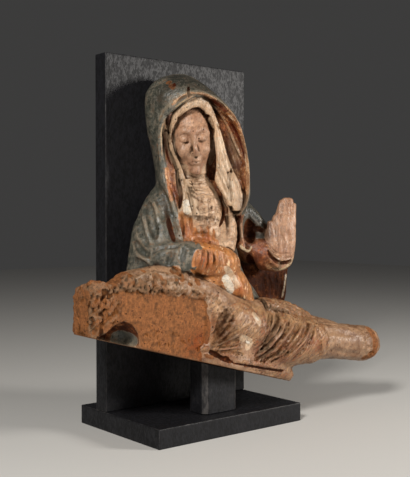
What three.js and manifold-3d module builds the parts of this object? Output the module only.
// A fragment of a carved and painted wooden pieta, fixed against the back board of its black stand.
// Millimetres, +Z up. The origin is the centre of the base's underside, +X is the viewer's right
// and +Y is the back.
import * as THREE from "three";
import { ParametricGeometry } from "three/addons/geometries/ParametricGeometry.js";
import { mergeVertices } from "three/addons/utils/BufferGeometryUtils.js";
import Module from "manifold-3d";

// Base and back board, sawn from one stock with eased edges
const baseWidth = 288;
const baseDepth = 215;
const baseThickness = 30;
const boardWidth = baseWidth;
const boardHeight = 560;
const boardThickness = 30;
const boardSetback = 45.5;
const easedEdge = 1.5;

// Post under the carving, with cut corners
const postWidth = 70;
const postDepth = 44;
const postCorner = 8;
const postStandOff = 69;
const postOffset = -3.5;

// Seat of the carving: height above the base at the middle, and fall per millimetre to the right
const seatHeight = 71;
const seatFall = 0.276;
const fitGap = 0.3;

// The carving's forms are laid out in parts of the figure's height, 460 parts from seat to hood
const figureHeight = 460;
const figureParts = 460;
const part = figureHeight / figureParts;

const wasm = await Module();
wasm.setup();

// A point of the carving: x to the right, out from the board, up from the seat, in parts
function at([x, out, z]) {
  return new THREE.Vector3(x, -out, z).multiplyScalar(part);
}

// A closed geometry as a solid, facing out, without the slivers where a ring shrinks to a point
function solidOf(geometry) {
  geometry.deleteAttribute("normal");
  geometry.deleteAttribute("uv");
  const merged = mergeVertices(geometry, 1e-3);
  const corners = merged.index.array;
  const kept = [];
  for (let i = 0; i < corners.length; i += 3) {
    const [a, b, c] = [corners[i], corners[i + 1], corners[i + 2]];
    if (a !== b && b !== c && c !== a) kept.push(a, b, c);
  }
  const make = (triVerts) =>
    new wasm.Manifold(
      new wasm.Mesh({
        numProp: 3,
        vertProperties: new Float32Array(merged.attributes.position.array),
        triVerts: new Uint32Array(triVerts),
      }),
    );
  const made = make(kept);
  return made.volume() < 0 ? make(kept.reverse()) : made;
}

function geometryOf(solid) {
  const mesh = solid.getMesh();
  const geometry = new THREE.BufferGeometry();
  geometry.setAttribute("position", new THREE.BufferAttribute(mesh.vertProperties, 3));
  geometry.setIndex(new THREE.BufferAttribute(mesh.triVerts, 1));
  geometry.computeVertexNormals();
  return geometry;
}

// A closed form through rings of points, all of one count, with a flat cap at each end
function loft(rings, steps) {
  const around = rings[0].length;
  const stacks = steps + 2;
  const lines = rings[0].map(
    (_, i) => new THREE.CatmullRomCurve3(rings.map((ring) => ring[i]), false, "centripetal"),
  );
  const first = middleOf(rings[0]);
  const last = middleOf(rings[rings.length - 1]);
  const surface = (u, v, target) => {
    const row = Math.round(v * stacks);
    const line = lines[(Math.round(u * around) + around) % around];
    if (row < 1) target.copy(first);
    else if (row > steps + 1) target.copy(last);
    else line.getPoint((row - 1) / steps, target);
  };
  return solidOf(new ParametricGeometry(surface, around, stacks));
}

function middleOf(points) {
  const sum = points.reduce((total, point) => total.add(point), new THREE.Vector3());
  return sum.divideScalar(points.length);
}

// A ring in the plane of two axes: an ellipse, or squarer with a power above 2
function ring(centre, across, up, count, power = 2) {
  const square = (value) => Math.sign(value) * Math.abs(value) ** (2 / power);
  return Array.from({ length: count }, (_, i) => {
    const angle = (2 * Math.PI * i) / count;
    return centre
      .clone()
      .addScaledVector(across, square(Math.cos(angle)))
      .addScaledVector(up, square(Math.sin(angle)));
  });
}

// Level rings: each row is z, x, out, half width, half depth
function column(rows, count, steps, power = 2) {
  const wide = (size) => new THREE.Vector3(size * part, 0, 0);
  const deep = (size) => new THREE.Vector3(0, size * part, 0);
  const rings = rows.map(([z, x, out, halfWidth, halfDepth]) =>
    ring(at([x, out, z]), wide(halfWidth), deep(halfDepth), count, power),
  );
  return loft(rings, steps);
}

// A limb along a line: each row is x, out, z, radius and, where it is flat, the radius across.
// Its ends are round unless one is open.
function limb(rows, count, { flat = [0, 1, 0], roundFoot = true, roundTip = true } = {}) {
  const spine = new THREE.CatmullRomCurve3(rows.map(at), false, "centripetal");
  const facing = at(flat).normalize();
  const rings = rows.map(([, , , radius, radiusAcross = radius], i) => {
    const place = i / (rows.length - 1);
    const tangent = spine.getTangent(place);
    const across = new THREE.Vector3().crossVectors(tangent, facing).normalize();
    const up = new THREE.Vector3().crossVectors(across, tangent);
    return ring(
      spine.getPoint(place),
      across.multiplyScalar(radiusAcross * part),
      up.multiplyScalar(radius * part),
      count,
    );
  });
  const whole = [
    ...(roundFoot ? roundEnd(rings[0], rings[1]).reverse() : []),
    ...rings,
    ...(roundTip ? roundEnd(rings[rings.length - 1], rings[rings.length - 2]) : []),
  ];
  return loft(whole, whole.length - 1);
}

// Two shrinking rings past an end, away from its neighbour
function roundEnd(end, next) {
  const centre = middleOf(end);
  const away = centre.clone().sub(middleOf(next)).normalize();
  const radius = end.reduce((sum, point) => sum + point.distanceTo(centre), 0) / end.length;
  return [0.5, 0.88].map((share) =>
    end.map((point) =>
      point
        .clone()
        .sub(centre)
        .multiplyScalar(Math.sqrt(1 - share * share))
        .add(centre)
        .addScaledVector(away, radius * share * 0.7),
    ),
  );
}

// A band of cloth: each row lists points across its face, and its thickness lies behind them
function band(rows, thickness, across, steps, behind = [0, -1, 0]) {
  const back = at(behind).normalize();
  const half = (thickness * part) / 2;
  const rings = rows.map((row) => {
    const line = new THREE.CatmullRomCurve3(row.map(at), false, "centripetal");
    return Array.from({ length: 2 * across }, (_, i) => {
      const angle = (Math.PI * (i + 0.5)) / across;
      const share = (1 - Math.cos(angle)) / 2;
      const side = Math.sign(Math.sin(angle)) * Math.abs(Math.sin(angle)) ** 0.4;
      return line.getPoint(share).addScaledVector(back, half * (1 - side));
    });
  });
  return loft(rings, steps);
}

// How far out a solid's surface stands, seen from the front at x and z
function frontOf(solid) {
  const mesh = new THREE.Mesh(geometryOf(solid));
  const ray = new THREE.Raycaster();
  const reach = 2 * figureParts;
  return (x, z) => {
    ray.set(at([x, reach, z]), new THREE.Vector3(0, 1, 0));
    const hit = ray.intersectObject(mesh)[0];
    return hit ? -hit.point.y / part : 0;
  };
}

// Folds laid on a surface: each line gives x, z points, and its ridge tapers to both ends
function folds(front, lines, radius, sink = 0.3) {
  const tip = 0.45;
  return lines.map((line) => {
    const rows = line.map(([x, z], i) => {
      const place = (i + 0.35) / (line.length - 0.3);
      const swell = THREE.MathUtils.lerp(tip, 1, Math.sin(Math.PI * place));
      return [x, front(x, z) - radius * sink, z, radius * swell];
    });
    return limb(rows, 4, { roundFoot: false, roundTip: false });
  });
}

function joined(solids) {
  return solids.reduce((sum, solid) => sum.add(solid));
}

// An upright or lying board with eased edges, centred on x and y, from z = 0 up
function boardSolid(width, depth, height, corner) {
  const x = width / 2 - easedEdge;
  const y = depth / 2 - easedEdge;
  const cut = Math.max(corner, easedEdge);
  const shape = new THREE.Shape([
    new THREE.Vector2(-x + cut, -y),
    new THREE.Vector2(x - cut, -y),
    new THREE.Vector2(x, -y + cut),
    new THREE.Vector2(x, y - cut),
    new THREE.Vector2(x - cut, y),
    new THREE.Vector2(-x + cut, y),
    new THREE.Vector2(-x, y - cut),
    new THREE.Vector2(-x, -y + cut),
  ]);
  const geometry = new THREE.ExtrudeGeometry(shape, {
    depth: height - 2 * easedEdge,
    bevelThickness: easedEdge,
    bevelSize: easedEdge,
    bevelSegments: 1,
  });
  geometry.translate(0, 0, easedEdge);
  return solidOf(geometry);
}

// A block far larger than the object, below z = 0, for the cuts
function underground() {
  const size = 4 * (baseWidth + boardHeight + figureHeight);
  const geometry = new THREE.BoxGeometry(size, size, size);
  geometry.translate(0, 0, -size / 2);
  return geometry;
}

// Everything below the sloping seat
function belowSeat() {
  return solidOf(underground().rotateY(Math.atan(seatFall)));
}

// Everything behind the carving's flat back
function behindBack() {
  return solidOf(underground().rotateX(Math.PI / 2));
}

// Hood of the mantle: a tall shell, open in front, with a rolled edge
function hoodSolid() {
  const outside = [
    [236, 4, 54, 70, 64],
    [261, 4, 57, 74, 74],
    [300, 3, 57, 75.5, 75.5],
    [336, -3, 57, 76, 76],
    [368, -13, 57, 75.5, 75.5],
    [394, -22, 57, 71, 72],
    [412, -32, 56, 63, 65],
    [428, -40, 53, 52, 56],
    [443, -42, 48, 38, 43],
    [453, -39, 43, 24, 29],
    [459, -36, 40, 10, 14],
  ];
  const hollow = [
    [226, -14, 104, 36, 34],
    [252, -13, 104, 54, 44],
    [290, -12, 104, 62, 56],
    [335, -16, 106, 65, 62],
    [366, -25, 106, 62, 62],
    [386, -35, 106, 56, 60],
    [402, -43, 108, 42, 52],
    [414, -49, 110, 26, 38],
    [420, -52, 112, 12, 20],
  ];
  const edge = [
    [-82, 66, 300, 4.5],
    [-86, 66, 325, 4.5],
    [-90, 68, 350, 4.6],
    [-91, 72, 372, 4.8],
    [-88, 79, 388, 5],
    [-79, 93, 402, 5],
    [-66, 103, 413, 5],
    [-52, 106, 419, 5],
    [-34, 104, 420, 4.6],
    [-14, 100, 417, 4.4],
    [6, 97, 409, 4.2],
    [24, 97, 395, 4.2],
    [36, 99, 380, 4.2],
    [45, 102, 362, 4.2],
    [52, 103, 340, 4.2],
    [57, 104, 318, 4.4],
    [58, 105, 288, 4.6],
    [55, 106, 258, 4.6],
  ];
  // Folds of the lining inside her left edge
  const liningFolds = [
    [[0, 92, 402, 3], [12, 90, 388, 3.4], [18, 88, 372, 3.4], [22, 86, 352, 3]],
    [[22, 86, 389, 3], [35, 93, 372, 3.4], [42, 98, 358, 3]],
    [[30, 78, 374, 3], [37, 84, 358, 3.6], [45, 93, 343, 3.8], [53, 101, 326, 3.4]],
  ];
  return joined([
    column(outside, 22, 10).subtract(column(hollow, 16, 7, 2.6)),
    limb(edge, 4),
    ...liningFolds.map((rows) => limb(rows, 4)),
  ]);
}

// Shoulders and body under the mantle, against the board
function trunkSolid() {
  const rows = [
    [20, 20, 50, 118, 66],
    [80, 12, 52, 104, 62],
    [130, 4, 54, 84, 52],
    [180, -2, 54, 70, 46],
    [225, -4, 50, 72, 46],
    [255, -2, 46, 72, 46],
    [276, 0, 42, 62, 40],
    [292, 0, 40, 40, 34],
  ];
  return column(rows, 12, 6);
}

// Head, turned to her right and bowed a little, with a calm, plain face
const head = {
  centre: [-33, 67, 356],
  halfWidth: 33,
  halfDepth: 40,
  halfHeight: 57,
  turn: -27,
  lean: 6,
  bow: 5,
};

// Relief of the face in shares of the head: how far it stands out, then its distance aside and
// its height from the head's middle, each with its spread
const face = {
  nose: [0.19, 0, 0.1, -0.2, 0.19],
  noseTip: [0.06, 0, 0.19, -0.38, 0.09],
  brow: [0.05, 0, 0.3, 0.17, 0.12],
  eyeHollows: [-0.1, 0.4, 0.17, 0.01, 0.1],
  eyelids: [0.05, 0.4, 0.14, -0.03, 0.06],
  cheeks: [0.04, 0.5, 0.2, -0.25, 0.2],
  lips: [0.06, 0, 0.22, -0.58, 0.1],
  hollowUnderLips: [-0.03, 0, 0.3, -0.72, 0.06],
  chin: [0.1, 0, 0.3, -0.88, 0.14],
};

function headSolid() {
  const frontPoints = 16;
  const backPoints = 3;
  const steps = 16;
  const bump = (value, middle, spread) => Math.exp(-(((value - middle) / spread) ** 2));
  const reliefAt = (aside, height) =>
    Object.values(face).reduce(
      (sum, [depth, place, spread, level, rise]) =>
        sum + depth * bump(aside, place, spread) * bump(height, level, rise),
      0,
    );
  // Half width of the skull and jaw at a height, as a share
  const widthAt = (h) => Math.sqrt(Math.max(1 - h * h, 0)) ** (h < 0 ? 0.8 : 0.9);
  const angles = [
    ...Array.from({ length: frontPoints }, (_, i) => (Math.PI * i) / frontPoints),
    ...Array.from({ length: backPoints }, (_, i) => Math.PI * (1 + i / backPoints)),
  ];
  const rings = Array.from({ length: steps + 1 }, (_, k) => {
    const h = -Math.cos((Math.PI * (k + 0.35)) / (steps + 0.7));
    const jaw = h < 0 ? 1 - 0.22 * h * h : 1;
    return angles.map((angle) => {
      const s = Math.cos(angle) * widthAt(h) * jaw;
      const front = Math.max(Math.sin(angle), 0) ** 1.5;
      const f = Math.sin(angle) * widthAt(h) + front * reliefAt(Math.abs(s), h);
      return at([s * head.halfWidth, f * head.halfDepth, h * head.halfHeight]);
    });
  });
  const degrees = THREE.MathUtils.degToRad;
  const turned = new THREE.Matrix4()
    .makeTranslation(at(head.centre))
    .multiply(new THREE.Matrix4().makeRotationZ(degrees(head.turn)))
    .multiply(new THREE.Matrix4().makeRotationY(degrees(-head.lean)))
    .multiply(new THREE.Matrix4().makeRotationX(degrees(head.bow)));
  rings.forEach((points) => points.forEach((point) => point.applyMatrix4(turned)));
  return loft(rings, steps);
}

function neckSolid() {
  const rows = [
    [258, -24, 60, 46, 32],
    [285, -28, 66, 31, 27],
    [302, -31, 68, 25, 25],
    [330, -33, 68, 25, 25],
  ];
  return column(rows, 12, 4);
}

// Veil under the hood, one band from its end at her right, over the brow, to the broad fall at her
// left; each row goes from the edge near the hood to the edge near the face
function veilSolid() {
  const rows = [
    [[-69, 92, 239], [-63, 101, 238], [-56, 105, 236]],
    [[-65, 86, 260], [-62, 98, 259], [-56, 102, 257]],
    [[-65, 80, 281], [-63, 92, 280], [-54, 95, 280]],
    [[-63, 75, 300], [-63, 84, 298], [-56, 89, 296]],
    [[-66, 71, 318], [-68, 79, 318], [-63, 84, 318]],
    [[-73, 69, 337], [-76, 76, 337], [-72, 82, 337]],
    [[-76, 69, 354], [-80, 76, 354], [-77, 82, 353]],
    [[-76, 72, 372], [-80, 80, 371], [-77, 86, 368]],
    [[-73, 80, 390], [-77, 88, 387], [-73, 93, 381]],
    [[-66, 89, 403], [-68, 97, 399], [-64, 100, 392]],
    [[-57, 96, 412], [-57, 104, 407], [-53, 105, 399]],
    [[-42, 99, 416], [-41, 107, 409], [-41, 106, 401]],
    [[-24, 97, 414], [-25, 105, 406], [-29, 104, 397]],
    [[-8, 93, 401], [-13, 102, 395], [-20, 101, 385]],
    [[4, 92, 382], [-4, 101, 377], [-14, 99, 371]],
    [[12, 93, 362], [1, 103, 357], [-13, 98, 354]],
    [[18, 96, 338], [5, 106, 333], [-15, 98, 330]],
    [[26, 99, 315], [9, 109, 308], [-17, 99, 306]],
    [[35, 103, 293], [17, 112, 286], [-9, 102, 285]],
    [[45, 106, 272], [30, 114, 264], [8, 105, 262]],
    [[55, 108, 251], [41, 114, 242], [25, 108, 240]],
  ];
  const secondEnd = [
    [[-62, 92, 292], [-57, 98, 292], [-52, 96, 292]],
    [[-58, 98, 266], [-52, 105, 265], [-47, 102, 266]],
    [[-51, 104, 234], [-46, 110, 234], [-41, 106, 238]],
  ];
  const fall = band(rows, 9, 4, 22);
  const pleats = [
    [[-12, 312], [-4, 290], [10, 268], [24, 246]],
    [[-4, 318], [4, 296], [17, 274], [31, 252]],
    [[12, 322], [16, 300], [22, 276], [34, 256]],
  ];
  return joined([fall, band(secondEnd, 7, 3, 3), ...folds(frontOf(fall), pleats, 3.2)]);
}

// Front of the dress, its last fold at her left, and the mantle's narrow edge beside it
function dressSolid() {
  const rows = [
    [[-64, 92, 266], [-44, 99, 270], [-20, 100, 272], [8, 96, 268]],
    [[-66, 94, 240], [-42, 106, 242], [-14, 108, 243], [12, 98, 240]],
    [[-66, 96, 212], [-42, 110, 212], [-8, 111, 212], [22, 101, 210]],
    [[-66, 98, 184], [-40, 113, 182], [-6, 114, 180], [22, 104, 178]],
  ];
  const leftFold = [
    [17, 94, 266, 4],
    [27, 94, 246, 6],
    [31, 94, 228, 8],
    [29, 95, 208, 11],
    [20, 98, 186, 13],
  ];
  const slit = [
    [17, 106, 254, 2],
    [17, 108, 243, 6],
    [12, 108, 230, 6],
    [6, 108, 220, 2],
  ];
  const dress = joined([band(rows, 34, 6, 5), limb(leftFold, 8)]);
  const upright = [
    [[-46, 224], [-47, 206], [-45, 190]],
    [[-32, 252], [-34, 228], [-30, 204], [-28, 188]],
    [[-6, 256], [-10, 232], [-6, 208], [-2, 190]],
  ];
  return joined([dress, ...folds(frontOf(dress), upright, 5)]).subtract(
    limb(slit, 6, { roundFoot: false, roundTip: false }),
  );
}

function leftEdgeSolid() {
  const rows = [
    [[29, 99, 250], [43, 108, 248], [56, 103, 250]],
    [[38, 97, 229], [46, 104, 227], [53, 101, 227]],
    [[42, 95, 206], [50, 101, 205], [56, 98, 206]],
    [[45, 94, 184], [54, 100, 184], [61, 97, 186]],
  ];
  const curl = [
    [48, 95, 185, 4.5],
    [57, 99, 178, 5],
    [68, 97, 179, 4.5],
    [75, 95, 185, 3],
  ];
  return joined([band(rows, 10, 3, 4), limb(curl, 5)]);
}

// Her right arm under the mantle, the forearm laid forward, and the mantle's edge in front
function rightArmSolid() {
  const upper = [
    [-44, 42, 266, 34],
    [-64, 47, 242, 37],
    [-82, 53, 204, 39],
    [-90, 68, 166, 40],
  ];
  const forearm = [
    [-104, 72, 162, 34],
    [-99, 96, 166, 30],
    [-84, 112, 170, 27],
    [-66, 120, 173, 25],
  ];
  const arm = joined([limb(upper, 12), limb(forearm, 10)]);
  const draped = [
    [[-96, 250], [-96, 230], [-93, 208], [-97, 192]],
    [[-84, 260], [-79, 238], [-77, 214], [-84, 196]],
    [[-108, 222], [-108, 204], [-104, 188]],
    [[-110, 162], [-98, 174], [-88, 192]],
    [[-84, 160], [-76, 174], [-70, 190]],
  ];
  const edge = [
    [[-92, 60, 350], [-90, 66, 350], [-86, 68, 350]],
    [[-92, 60, 318], [-88, 70, 318], [-82, 72, 318]],
    [[-92, 61, 288], [-88, 73, 286], [-80, 77, 286]],
    [[-84, 73, 262], [-81, 82, 262], [-76, 84, 262]],
    [[-78, 82, 234], [-76, 89, 234], [-71, 92, 234]],
    [[-77, 88, 212], [-74, 96, 212], [-69, 98, 212]],
    [[-80, 93, 190], [-74, 102, 190], [-67, 104, 190]],
  ];
  const lining = [
    [[-84, 62, 346], [-78, 66, 346], [-72, 66, 346]],
    [[-82, 67, 313], [-74, 75, 313], [-66, 77, 313]],
    [[-82, 70, 286], [-73, 80, 286], [-63, 84, 286]],
    [[-78, 76, 258], [-70, 86, 258], [-62, 92, 258]],
    [[-72, 86, 232], [-65, 95, 232], [-56, 99, 232]],
    [[-70, 92, 206], [-61, 101, 206], [-50, 104, 206]],
    [[-68, 96, 186], [-58, 105, 186], [-46, 108, 186]],
  ];
  return joined([
    arm,
    ...folds(frontOf(arm), draped, 5.5),
    band(edge, 10, 3, 7),
    band(lining, 14, 3, 5),
  ]);
}

// Gathered sleeve of her dress on the dead man's chest, and the gown's lobe over her lap
function sleeveSolid() {
  const sleeve = limb(
    [
      [-60, 114, 170, 26],
      [-42, 119, 168, 27],
      [-22, 119, 164, 27],
      [-2, 113, 160, 26],
      [14, 104, 156, 22],
    ],
    10,
  );
  const lobe = limb(
    [
      [-34, 104, 148, 30],
      [-6, 106, 138, 32],
      [18, 104, 122, 32],
      [34, 100, 104, 30],
      [44, 96, 84, 28],
    ],
    10,
  );
  const gathers = [
    [[-56, 190], [-60, 172], [-62, 154]],
    [[-42, 192], [-47, 172], [-50, 152]],
    [[-28, 190], [-33, 170], [-37, 150]],
    [[-13, 186], [-18, 168], [-22, 148]],
    [[2, 178], [-2, 164], [-6, 146]],
  ];
  const lobeFolds = [
    [[2, 156], [18, 140], [30, 120], [36, 100]],
    [[-20, 140], [-6, 128], [4, 110]],
  ];
  return joined([
    sleeve,
    lobe,
    ...folds(frontOf(sleeve), gathers, 4.5),
    ...folds(frontOf(lobe), lobeFolds, 5),
  ]);
}

// Her left arm under the mantle, its wide sleeve, and the raised open hand with broken fingers
function leftArmSolid() {
  const upper = [
    [42, 42, 264, 32],
    [76, 46, 242, 30],
    [102, 52, 222, 28],
    [122, 58, 198, 26],
    [126, 62, 172, 26],
  ];
  const sleeve = [
    [98, 58, 172, 28],
    [110, 68, 152, 33],
    [126, 80, 146, 34],
    [138, 90, 154, 30],
    [142, 95, 166, 27],
  ];
  const mouth = [
    [138, 91, 148, 14],
    [141, 95, 162, 21],
    [144, 99, 178, 24],
  ];
  const arm = limb(upper, 10);
  const draped = [
    [[56, 262], [78, 244], [98, 226]],
    [[84, 252], [102, 238], [116, 222]],
  ];
  return joined([
    arm,
    ...folds(frontOf(arm), draped, 5),
    limb(sleeve, 11, { roundTip: false }).subtract(limb(mouth, 8)),
  ]);
}

// The hand's frame: its palm faces a little to her right
const palmFacing = [-0.5, 0.87, 0];
const palmAcross = [0.87, 0.5, 0];

function handSolid() {
  const palm = [
    [139, 95, 156, 13, 16],
    [140, 95, 176, 14, 21],
    [141, 96, 196, 12.5, 24.5],
    [142, 97, 214, 11.5, 24],
    [144, 97, 228, 10, 21.5],
  ];
  const thumb = [
    [127, 92, 182, 13],
    [120, 90, 202, 11],
    [116, 90, 218, 8],
  ];
  const knuckle = [146, 97, 220];
  const tip = [150, 97];
  const fingers = [
    { aside: -15.5, tipHeight: 256, radius: 6.8 },
    { aside: -5.2, tipHeight: 262, radius: 7.2 },
    { aside: 5.2, tipHeight: 263, radius: 7.2 },
    { aside: 15.5, tipHeight: 248, radius: 6.6 },
  ];
  const fingerSolids = fingers.map(({ aside, tipHeight, radius }) =>
    limb(
      [
        [knuckle[0] + palmAcross[0] * aside, knuckle[1] + palmAcross[1] * aside, 220, radius],
        [tip[0] + palmAcross[0] * aside, tip[1] + palmAcross[1] * aside, tipHeight, radius * 0.9],
      ],
      6,
      { roundFoot: false },
    ),
  );
  return joined([
    limb(palm, 9, { flat: palmFacing }),
    limb(thumb, 6),
    ...fingerSolids,
  ]);
}

// Mantle hanging behind the left arm down to the lap
function hangingMantleSolid() {
  const rows = [
    [[60, 30, 236], [108, 34, 236], [154, 40, 228]],
    [[70, 40, 190], [130, 44, 190], [208, 58, 188]],
    [[78, 46, 150], [130, 52, 150], [197, 60, 150]],
    [[82, 50, 110], [130, 56, 110], [190, 62, 112]],
    [[80, 50, 60], [130, 56, 60], [184, 62, 66]],
  ];
  const panel = band(rows, 12, 3, 5);
  const draped = [
    [[168, 204], [158, 168], [150, 130], [146, 96]],
    [[112, 150], [112, 124], [116, 98]],
  ];
  return joined([panel, ...folds(frontOf(panel), draped, 6)]);
}

// Lap and mantle filling the back under both bodies
function lapSolid() {
  const rows = [
    [-70, -40, 36, 92, 70],
    [20, -14, 44, 120, 80],
    [70, -2, 46, 126, 76],
    [110, -6, 46, 112, 66],
    [140, -12, 46, 92, 54],
  ];
  return column(rows, 12, 4, 2.6);
}

// The dead man's body. Each row is x, front, back, top, top at the back, radii of the upper and
// lower front edges, and bottom; the hollow is broken out under its left end.
function bodySolid() {
  const rows = [
    [-259, 132, 98, 126, 122, 12, 6, 30],
    [-252, 141, 86, 142, 136, 16, 4, 30],
    [-238, 143, 72, 146, 134, 22, 3, 20],
    [-216, 143, 50, 142, 122, 24, 3, 10],
    [-198, 143, 30, 154, 118, 28, 3, 0],
    [-160, 143, 10, 160, 118, 30, 3, 0],
    [-123, 143, 0, 163, 124, 34, 3, 0],
    [-90, 143, 0, 159, 130, 36, 4, -10],
    [-58, 146, 0, 149, 130, 40, 12, -14],
    [-30, 154, 0, 136, 122, 44, 20, -18],
    [0, 161, 0, 118, 112, 46, 30, -20],
    [34, 160, 0, 106, 104, 46, 36, -24],
    [70, 153, 4, 101, 98, 44, 38, -30],
    [104, 144, 14, 95, 92, 40, 40, -32],
    [136, 136, 34, 86, 84, 34, 36, -26],
    [160, 126, 50, 74, 72, 28, 30, -10],
  ];
  const backCorner = 18;
  const corner = (x, out, z, radius, from, points) =>
    Array.from({ length: points }, (_, i) => {
      const angle = from + (Math.PI / 2) * (i / (points - 1));
      return at([x, out + radius * Math.cos(angle), z + radius * Math.sin(angle)]);
    });
  const rings = rows.map(([x, front, back, top, backTop, upper, lower, bottom]) => [
    ...corner(x, front - upper, top - upper, upper, 0, 5),
    ...corner(x, back + backCorner, backTop - backCorner, backCorner, Math.PI / 2, 3),
    ...corner(x, back + lower, bottom + lower, lower, Math.PI, 2),
    ...corner(x, front - lower, bottom + lower, lower, 1.5 * Math.PI, 3),
  ]);
  const hollow = [
    [-208, 200, 60, 27, 26],
    [-208, 140, 60, 27, 26],
    [-205, 112, 58, 24, 24],
    [-200, 92, 54, 14, 16],
  ];
  return loft(rings, rings.length - 1).subtract(limb(hollow, 9, { flat: [0, 0, 1] }));
}

// Hip, thighs with broken ends, and the loincloth gathered from a knot at his side; the near thigh
// steps down where the cloth ends
function legsSolid(body) {
  const hip = [
    [-30, 126, 84, 28],
    [-12, 133, 76, 34],
    [8, 134, 68, 37],
    [34, 128, 58, 40],
  ];
  const near = [
    [60, 118, 42, 48],
    [120, 120, 33, 45],
    [160, 121, 28.5, 40],
    [188, 122, 25.5, 36.5],
    [193, 122, 25, 33],
    [244, 123, 19.5, 30.5],
    [290, 124, 13, 31],
    [322, 124, 8, 30],
    [335, 124, 5, 23],
  ];
  const far = [
    [110, 78, 52, 38],
    [170, 80, 46, 32],
    [227, 84, 34, 27],
    [262, 86, 26, 26],
    [286, 88, 19, 23],
  ];
  const hem = [
    [-34, 138, 12, 10],
    [30, 138, 2, 13],
    [80, 132, -11, 14],
    [116, 126, -22, 13],
    [130, 123, -26, 11],
  ];
  const looseEnd = [
    [[66, 142, 98], [74, 122, 104], [82, 100, 103]],
    [[108, 136, 88], [116, 117, 98], [124, 96, 97]],
    [[146, 128, 76], [154, 110, 89], [162, 92, 87]],
    [[178, 122, 66], [185, 106, 77], [192, 90, 75]],
    [[196, 118, 60], [200, 108, 67], [204, 98, 67]],
  ];
  const solid = joined([
    body,
    limb(hip, 9),
    limb(near, 12, { roundTip: false }),
    limb(far, 8),
    limb(hem, 6, { roundTip: false }),
    band(looseEnd, 9, 3, 5, [0, 0, -1]),
  ]);
  const knot = [-66, 38];
  const fan = [
    [[-50, 68], [-40, 106]],
    [[-43, 52], [-24, 88]],
    [[-40, 38], [-14, 52]],
    [[-40, 30], [-8, 26]],
  ].map((line) => [knot, ...line]);
  const across = [
    [[67, 98], [59, 74], [40, 40], [16, 20]],
    [[92, 88], [88, 62], [60, 26], [30, 6]],
    [[118, 80], [114, 52], [84, 14], [52, -6]],
    [[144, 70], [140, 42], [112, 6], [80, -14]],
    [[168, 62], [164, 36], [140, 4], [110, -14]],
    [[187, 50], [187, 26], [172, 0], [148, -12]],
  ];
  return joined([solid, ...folds(frontOf(solid), [...fan, ...across], 6, 0.2)]);
}

function carvingSolid() {
  const forms = [
    hoodSolid(),
    trunkSolid(),
    headSolid(),
    neckSolid(),
    veilSolid(),
    dressSolid(),
    leftEdgeSolid(),
    rightArmSolid(),
    sleeveSolid(),
    leftArmSolid(),
    handSolid(),
    hangingMantleSolid(),
    lapSolid(),
    legsSolid(bodySolid()),
  ];
  return joined(forms).subtract(belowSeat()).subtract(behindBack());
}

const black = { color: 0x121214, roughness: 0.45, metalness: 0 };
const paintedWood = { color: 0x8a6a4c, roughness: 0.75, metalness: 0 };

function piece(name, solid, finish) {
  const mesh = new THREE.Mesh(geometryOf(solid), new THREE.MeshStandardMaterial(finish));
  mesh.name = name;
  return mesh;
}

const pieta = new THREE.Group();

const base = piece("base_board", boardSolid(baseWidth, baseDepth, baseThickness - fitGap, 0), black);
pieta.add(base);

// The back board stands on the base, set in from its back edge
const boardFront = baseDepth / 2 - boardSetback - boardThickness;
const board = piece("back_board", boardSolid(boardWidth, boardThickness, boardHeight, 0), black);
board.position.set(0, boardFront + boardThickness / 2, baseThickness);
pieta.add(board);

// The post's top is sawn to the sloping seat
const postMiddle = boardFront - postStandOff - postDepth / 2;
const postTall = seatHeight + seatFall * (postWidth + Math.abs(postOffset));
const post = boardSolid(postWidth, postDepth, postTall, postCorner)
  .translate([postOffset, 0, 0])
  .intersect(belowSeat().translate([0, 0, seatHeight - fitGap]));
const support = piece("support_post", post, black);
support.position.set(0, postMiddle, baseThickness);
pieta.add(support);

const carving = piece("pieta_carving", carvingSolid(), paintedWood);
carving.position.set(0, boardFront - fitGap, baseThickness + seatHeight);
pieta.add(carving);

export default pieta;
